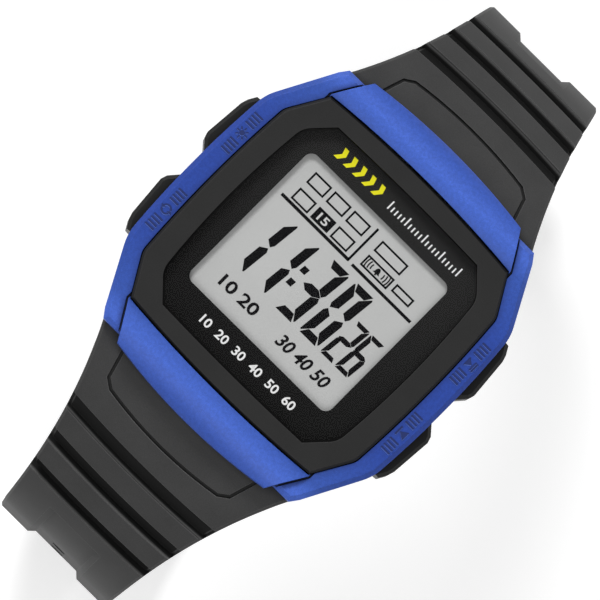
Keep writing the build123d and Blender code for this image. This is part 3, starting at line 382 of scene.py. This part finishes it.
light_guide = moulded("light_guide", (0.76, 0.82, 0.76), (0.85, 0.9, 0.85), 0.3)
display_cell = moulded("display_cell", (0.42, 0.45, 0.42), (0.50, 0.53, 0.50), 0.15, 0.5)
steel = metal("steel", grey(0.46), grey(0.62), 0.32, stretch=(60, 1, 1), grain=900)
spring_steel = metal("spring_steel", grey(0.58), grey(0.70), 0.22)
brass = metal("brass", (0.62, 0.48, 0.22), (0.75, 0.60, 0.30), 0.3)
coated_steel = metal("coated_steel", (0.05, 0.05, 0.055), (0.09, 0.09, 0.10), 0.38)
yellow_ink = printed("yellow_ink", (0.85, 0.80, 0.02))
white_ink = printed("white_ink", grey(0.86))
display_dark = printed("display_dark", (0.004, 0.004, 0.005))
display_pale = printed("display_pale", grey(0.62))
# Painted shade for the screws' cross recesses
recess_painted_shade = printed("recess_painted_shade", grey(0.02))
blue_lacquer = lacquered("blue_lacquer")
# Painted shade and painted highlight of the marks pressed into the rails
blue_painted_shade = moulded("blue_painted_shade", (0.008, 0.022, 0.13), (0.011, 0.030, 0.17), 0.5)
blue_painted_highlight = moulded("blue_painted_highlight", (0.06, 0.13, 0.52), (0.08, 0.16, 0.60), 0.45)
mask_ink = mask_painted("mask_ink")
lcd_film = film("lcd_film")
clear_crystal = clear("clear_crystal")

finishes = {
    strap_resin: ("strap_12", "strap_6", "keeper_fixed", "keeper_free"),
    case_resin: ("case_body",),
    blue_lacquer: ("bezel",),
    clear_crystal: ("crystal",),
    mask_ink: ("dial_mask",),
    lcd_film: ("lcd_front_polariser", "lcd_reflector"),
    display_cell: ("lcd_glass",),
    light_guide: ("backlight_panel",),
    module_plastic: ("module_frame", "battery_frame"),
    silicone: ("back_gasket", "button_seals"),
    zebra_rubber: ("zebra_strips",),
    board_green: ("circuit_board",),
    chip_resin: ("controller_chip",),
    brass: ("buzzer_disc",),
    coated_steel: ("buckle_frame", "buckle_bar", "buckle_tongue"),
    steel: ("case_back", "back_screws", "coin_cell", "quartz_crystal"),
    spring_steel: ("spring_bar_12", "spring_bar_6", "cell_contact", "contact_plate",
                   "buzzer_spring"),
}
finish_of = {name: finish for finish, names in finishes.items() for name in names}
for name, node in nodes.items():
    finish = finish_of.get(name, button_resin)
    if name.startswith(("button_spring", "button_clip")):
        finish = spring_steel
    node.data.materials.clear()
    node.data.materials.append(finish)


# Flat shapes, in millimetres from the middle of the watch or of the display
def rectangle(x, y, width, height, slant=0):
    return [
        (x + side * width / 2 + end * slant * height / 2, y + end * height / 2)
        for side, end in ((-1, -1), (1, -1), (1, 1), (-1, 1))
    ]


def box_outline(x, y, width, height, line):
    return [
        rectangle(x, y + (height - line) / 2, width, line),
        rectangle(x, y - (height - line) / 2, width, line),
        rectangle(x - (width - line) / 2, y, line, height - 2 * line),
        rectangle(x + (width - line) / 2, y, line, height - 2 * line),
    ]


def arc_band(x, y, inner, outer, start, end, steps=12):
    """Part of a ring, from one angle to another in degrees."""
    turns = [radians(start + (end - start) * step / steps) for step in range(steps + 1)]
    rim = [(x + outer * cos(turn), y + outer * sin(turn)) for turn in turns]
    return rim + [(x + inner * cos(turn), y + inner * sin(turn)) for turn in reversed(turns)]


def disc(x, y, radius, steps=16):
    turns = [2 * pi * step / steps for step in range(steps)]
    return [(x + radius * cos(turn), y + radius * sin(turn)) for turn in turns]


def segment_digit(digit, x, y, width, height, stroke, slant):
    """Seven-segment digit with pointed ends, leaning to the right."""
    half = width / 2
    top = height / 2
    gap = 0.1 * stroke
    cut = 0.12 * stroke
    # The top, upper right and middle segments; the others mirror the first two
    end = [
        (cut + gap - half, top),
        (half - cut - gap, top),
        (half - 0.7 * stroke, top - 0.86 * stroke),
        (0.7 * stroke - half, top - 0.86 * stroke),
    ]
    side = [
        (half - stroke, top - 1.3 * stroke),
        (half - cut, top - cut - gap),
        (half, top - 2 * cut - gap),
        (half, 0.55 * stroke),
        (half - 0.25 * stroke, gap),
        (half - stroke, 0.6 * stroke),
    ]
    middle = [
        (0.06 * stroke - half, 0),
        (0.73 * stroke - half, stroke / 2),
        (half - 0.95 * stroke, stroke / 2),
        (half - 0.2 * stroke, 0),
        (half - 0.95 * stroke, -stroke / 2),
        (0.73 * stroke - half, -stroke / 2),
    ]
    segments = {
        "a": (end, 1, 1), "b": (side, 1, 1), "c": (side, 1, -1), "d": (end, 1, -1),
        "e": (side, -1, -1), "f": (side, -1, 1), "g": (middle, 1, 1),
    }
    shown = {"0": "abcdef", "1": "bc", "2": "abged", "3": "abgcd", "6": "afgedc"}
    drawn = []
    for name in shown[digit]:
        points, across, along = segments[name]
        drawn.append([(x + across * px + slant * along * py, y + along * py) for px, py in points])
    return drawn


# Pieces that ride on the head
def add_piece(name, mesh, material):
    mesh.materials.clear()
    mesh.materials.append(material)
    piece = bpy.data.objects.new(name, mesh)
    scene.collection.objects.link(piece)
    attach(piece, "head")


def flat_piece(name, shapes, low, thickness, material, middle=(0, 0)):
    """One piece of thin flat shapes lying at a height."""
    work = bmesh.new()
    for points in shapes:
        placed = [((middle[0] + x) * MM, (middle[1] + y) * MM) for x, y in points]
        bottom = [work.verts.new((*point, low)) for point in placed]
        top = [work.verts.new((*point, low + thickness)) for point in placed]
        work.faces.new(top)
        work.faces.new(bottom[::-1])
        count = len(points)
        for step in range(count):
            after = (step + 1) % count
            work.faces.new((bottom[step], bottom[after], top[after], top[step]))
    bmesh.ops.recalc_face_normals(work, faces=work.faces)
    mesh = bpy.data.meshes.new(name)
    work.to_mesh(mesh)
    work.free()
    add_piece(name, mesh, material)


def number_piece(name, text, place, size, low, material, lean=0):
    """Plain numbers set in the built-in type, fitted to a width and a height in millimetres."""
    x, y = place
    width, height = size
    curve = bpy.data.curves.new(name + "_type", "FONT")
    curve.body = text
    curve.offset = 0.022
    curve.extrude = 0.5
    curve.resolution_u = 3
    holder = bpy.data.objects.new(name + "_type", curve)
    scene.collection.objects.link(holder)
    bpy.context.view_layer.update()
    evaluated = holder.evaluated_get(bpy.context.evaluated_depsgraph_get())
    mesh = bpy.data.meshes.new_from_object(evaluated)
    bpy.data.objects.remove(holder)
    bpy.data.curves.remove(curve)
    xs = [vertex.co.x for vertex in mesh.vertices]
    ys = [vertex.co.y for vertex in mesh.vertices]
    across = width / (max(xs) - min(xs))
    along = height / (max(ys) - min(ys))
    mid_x = (max(xs) + min(xs)) / 2
    mid_y = (max(ys) + min(ys)) / 2
    for vertex in mesh.vertices:
        py = (vertex.co.y - mid_y) * along
        px = (vertex.co.x - mid_x) * across + lean * py
        vertex.co = ((x + px) * MM, (y + py) * MM, low + INK * (vertex.co.z + 0.5))
    mesh.name = name
    add_piece(name, mesh, material)


def paint_mask():
    """Ink layer just above the moulded mask, with the same outline and window."""
    work = bmesh.new()
    work.from_mesh(nodes["dial_mask"].data)
    hidden = [face for face in work.faces if face.normal.z < 0.9]
    bmesh.ops.delete(work, geom=hidden, context="FACES")
    bmesh.ops.translate(work, verts=work.verts, vec=(0, 0, 0.02 * MM))
    mesh = bpy.data.meshes.new("mask_print")
    work.to_mesh(mesh)
    work.free()
    add_piece("mask_print", mesh, mask_ink)


def print_chevrons(first=-9.65, pitch=1.52, stroke=0.62, nib=0.65, lean=0.4):
    """Five yellow chevrons on the mask, pointing to the right."""
    chevrons = []
    for place in range(5):
        left = first + place * pitch
        foot = (left, 12.2)
        notch = (left + nib, 13.02)
        head = (left + lean, 13.84)
        right_side = [(x + stroke, y) for x, y in (foot, notch, head)]
        chevrons.append([foot, *right_side, head, notch])
    flat_piece("print_chevrons", chevrons, PRINT, INK, yellow_ink)


def print_ticks(first=-0.7, pitch=0.565, foot=12.18, width=0.19, short=0.7, tall=1.18):
    """White tick scale on the mask, every fifth tick taller."""
    ticks = []
    for place in range(21):
        height = tall if place % 5 == 0 else short
        ticks.append(rectangle(first + place * pitch, foot + height / 2, width, height))
    flat_piece("print_ticks", ticks, PRINT, INK, white_ink)


def display_boxes(line=0.24):
    """Five open boxes and a filled one on the left, and three wider ones on the right."""
    filled = (-5.0, 5.57)
    shapes = []
    for column in (-8.23, -5.0, -1.77):
        for row in (8.17, 5.57):
            if (column, row) != filled:
                shapes += box_outline(column, row, 2.72, 1.72, line)
    shapes.append(rectangle(*filled, 2.76, 1.72))
    for box in ((3.86, 8.0, 4.3, 1.62), (3.86, 5.69, 4.3, 1.62), (7.95, 5.8, 2.88, 1.14)):
        shapes += box_outline(*box, line)
    return shapes


def display_rules():
    """One upright line and two level ones between the parts of the display."""
    rules = ((0.39, 6.78, 0.3, 5.26), (-5.1, 4.3, 11.1, 0.4), (5.95, 4.2, 9.7, 0.38))
    return [rectangle(*rule) for rule in rules]


def display_time(slant=0.108):
    """Four tall digits, two small ones and the two dots between."""
    shapes = []
    for digit, x in (("1", -8.44), ("1", -4.84), ("3", 0.0), ("0", 3.98)):
        shapes += segment_digit(digit, x, -1.32, 3.04, 8.88, 1.12, slant)
    for digit, x in (("2", 6.98), ("6", 9.36)):
        shapes += segment_digit(digit, x, -2.90, 2.16, 5.76, 0.64, slant)
    for dot in ((-2.37, -0.24), (-2.56, -2.38)):
        shapes.append(rectangle(*dot, 0.82, 0.86, slant))
    return shapes


def display_bell(x=3.86, y=5.69):
    """A bell with its clapper between sound waves."""
    bell = (
        (-0.5, -0.32), (0.5, -0.32), (0.34, -0.12), (0.3, 0.18), (0.16, 0.4), (0, 0.46),
        (-0.16, 0.4), (-0.3, 0.18), (-0.34, -0.12),
    )
    shapes = [[(x + px, y + 0.03 + py) for px, py in bell], disc(x, y - 0.4, 0.12)]
    for reach in (0.85, 1.25, 1.65):
        for start in (-22, 158):
            shapes.append(arc_band(x, y, reach, reach + 0.17, start, start + 44, 6))
    return shapes


def fill_display(middle_x=-0.13, middle_y=0.40):
    """Marks and plain numbers on the display, from the middle of its window."""
    shapes = display_boxes() + display_rules() + display_time() + display_bell()
    flat_piece("display_marks", shapes, DISPLAY_MARKS, INK, display_dark,
               (middle_x, middle_y))
    for name, text, x, y, size, lean, material in (
        ("display_day", "15", -5.0, 5.57, (1.5, 1.05), 0, display_pale),
        ("display_left", "10 20", -5.72, -7.78, (5.8, 1.6), 0, display_dark),
        ("display_right", "30 40 50", 5.1, -8.02, (7.9, 1.65), 0.2, display_dark),
    ):
        place = (middle_x + x, middle_y + y)
        number_piece(name, text, place, size, DISPLAY_NUMBERS, material, lean)


def rail_pictograms():
    """A sun, two turning arrows, an arrow before two bars and one before a single bar."""
    ray = ((0.36, 0.06), (0.36, -0.06), (0.64, -0.06), (0.64, 0.06))
    sun = [disc(0, 0, 0.26)]
    for step in range(8):
        turn = pi / 4 * step
        sun.append([(x * cos(turn) - y * sin(turn), x * sin(turn) + y * cos(turn)) for x, y in ray])
    cycle = [
        arc_band(0, 0, 0.38, 0.54, 20, 160),
        arc_band(0, 0, 0.38, 0.54, 200, 340),
        [(-0.72, 0.14), (-0.2, 0.14), (-0.46, -0.14)],
        [(0.72, -0.14), (0.2, -0.14), (0.46, 0.14)],
    ]
    forward = [
        [(-0.45, -0.5), (0.15, 0), (-0.45, 0.5)],
        rectangle(0.36, 0, 0.14, 1.0),
        rectangle(0.6, 0, 0.14, 1.0),
    ]
    back = [[(0.5, -0.5), (-0.25, 0), (0.5, 0.5)], rectangle(-0.42, 0, 0.16, 1.0)]
    return sun, cycle, forward, back


def mark_rails(reach=19.1, scale=1.2, thickness=0.006 * MM):
    """Marks as if pressed into the rails: a pictogram between two rows of short bars, in darker
    blue as painted shade over a lighter shifted copy as painted highlight.
    """
    sun, cycle, forward, back = rail_pictograms()
    pressed = []
    for side, y, picture in ((-1, 6.3, sun), (-1, -6.4, cycle), (1, 5.9, forward), (1, -5.6, back)):
        x = side * reach
        pressed += [[(x + scale * px, y + scale * py) for px, py in shape] for shape in picture]
        for step in (1.3, 1.8, 2.3, 2.8):
            pressed += [rectangle(x, y + step, 1.3, 0.22), rectangle(x, y - step, 1.3, 0.22)]
    # Painted highlight: a lighter copy, shifted, shows along one edge of each mark
    painted_highlight_edge = [[(x + 0.06, y - 0.08) for x, y in shape] for shape in pressed]
    flat_piece("rail_marks_painted_highlight", painted_highlight_edge, RAIL + 0.004 * MM, thickness, blue_painted_highlight)
    flat_piece("rail_marks", pressed, RAIL + 0.012 * MM, thickness, blue_painted_shade)


def add_return_springs():
    """Springs of the buttons, between the seat and the cap, copied so that they ride on the head.
    """
    for corner in ("upper_left", "upper_right", "lower_left", "lower_right"):
        coils = nodes["button_spring_" + corner].data.copy()
        spring = bpy.data.objects.new("return_spring_" + corner, coils)
        scene.collection.objects.link(spring)
        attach(spring, "head")
        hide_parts("button_spring_" + corner)
        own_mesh(spring)


def mark_screws(head_radius=1.1, slit=0.2, arm=0.45):
    """Cross recesses in the heads of the case-back screws, drawn as flat dark sheets of painted
    shade.
    """
    low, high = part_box("back_screws")
    crosses = []
    for side, end in ((-1, -1), (-1, 1), (1, -1), (1, 1)):
        x = side * (high.x / MM - head_radius)
        y = end * (high.y / MM - head_radius)
        crosses.append(rectangle(x, y, slit + 2 * arm, slit))
        for way in (1, -1):
            crosses.append(rectangle(x, y + way * (slit + arm) / 2, slit, arm))
    flat_piece("screw_recesses", crosses, low.z - INK, INK, recess_painted_shade)


paint_mask()
print_chevrons()
print_ticks()
number_piece("print_numbers", "10  20  30  40  50  60", (0.42, -12.38), (15.2, 1.2), PRINT,
             white_ink)
fill_display()
mark_rails()
add_return_springs()
mark_screws()


# Floor, lamps and camera
def lay_floor(half=3.0, height=-0.2 * MM, glow_strength=0.45):
    """Floor that glows for the camera and in reflections, so it is white but keeps the shadow."""
    mesh = bpy.data.meshes.new("floor")
    corners = [(x * half, y * half, height) for x, y in ((-1, -1), (1, -1), (1, 1), (-1, 1))]
    mesh.from_pydata(corners, [], [(0, 1, 2, 3)])
    floor = bpy.data.objects.new("floor", mesh)
    scene.collection.objects.link(floor)
    material, tree, shader = new_material("floor_paint")
    shader.inputs["Base Color"].default_value = (0.8, 0.8, 0.8, 1)
    shader.inputs["Roughness"].default_value = 0.9
    rays = tree.nodes.new("ShaderNodeLightPath").outputs
    seen = (rays["Is Camera Ray"], rays["Is Glossy Ray"], rays["Is Transmission Ray"])
    glow = tree.nodes.new("ShaderNodeEmission")
    glow.inputs["Color"].default_value = WHITE
    strength = calculate(tree, "MULTIPLY", greatest(tree, seen), glow_strength)
    tree.links.new(strength, glow.inputs["Strength"])
    add = tree.nodes.new("ShaderNodeAddShader")
    tree.links.new(shader.outputs["BSDF"], add.inputs[0])
    tree.links.new(glow.outputs["Emission"], add.inputs[1])
    tree.links.new(add.outputs["Shader"], tree.nodes["Material Output"].inputs["Surface"])
    mesh.materials.append(material)


def light_world(strength=0.42):
    world = bpy.data.worlds.new("studio")
    scene.world = world
    world.use_nodes = True
    background = world.node_tree.nodes["Background"]
    background.inputs["Color"].default_value = WHITE
    background.inputs["Strength"].default_value = strength


def aim(obj, place, target, up):
    """Puts obj at place, looking at target, with up towards the top of its view."""
    back = (place - target).normalized()
    right = up.cross(back).normalized()
    top = back.cross(right)
    obj.matrix_world = Matrix((
        (right.x, top.x, back.x, place.x),
        (right.y, top.y, back.y, place.y),
        (right.z, top.z, back.z, place.z),
        (0, 0, 0, 1),
    ))


def area_lamp(name, place, size, power):
    """Square lamp looking at the head."""
    data = bpy.data.lights.new(name, "AREA")
    data.size = size
    data.energy = power
    lamp = bpy.data.objects.new(name, data)
    scene.collection.objects.link(lamp)
    aim(lamp, Vector(place), Vector((0, 0, 50 * MM)), Vector((0, 1, 0)))


def place_camera(tilt, roll, distance, frame_width, target, sensor=36):
    """Camera above the dial, tilted towards 6 o'clock and rolled, by angles in radians."""
    data = bpy.data.cameras.new("camera")
    data.sensor_width = sensor
    data.lens = sensor * distance / frame_width
    data.clip_start = 0.01
    data.clip_end = 10
    camera = bpy.data.objects.new("camera", data)
    scene.collection.objects.link(camera)
    place = target + distance * Vector((0, -sin(tilt), cos(tilt)))
    aim(camera, place, target, Vector((-sin(roll), cos(roll), 0)))
    scene.camera = camera


lay_floor()
light_world()
area_lamp("key", (-0.52, 0.42, 0.80), size=0.28, power=5.0)
area_lamp("low_fill", (0.20, -0.45, 0.85), size=0.5, power=2.1)
place_camera(radians(5.9), radians(44.6), distance=0.8, frame_width=70.45 * MM,
             target=Vector((-0.42 * MM, -2.95 * MM, FACE)))
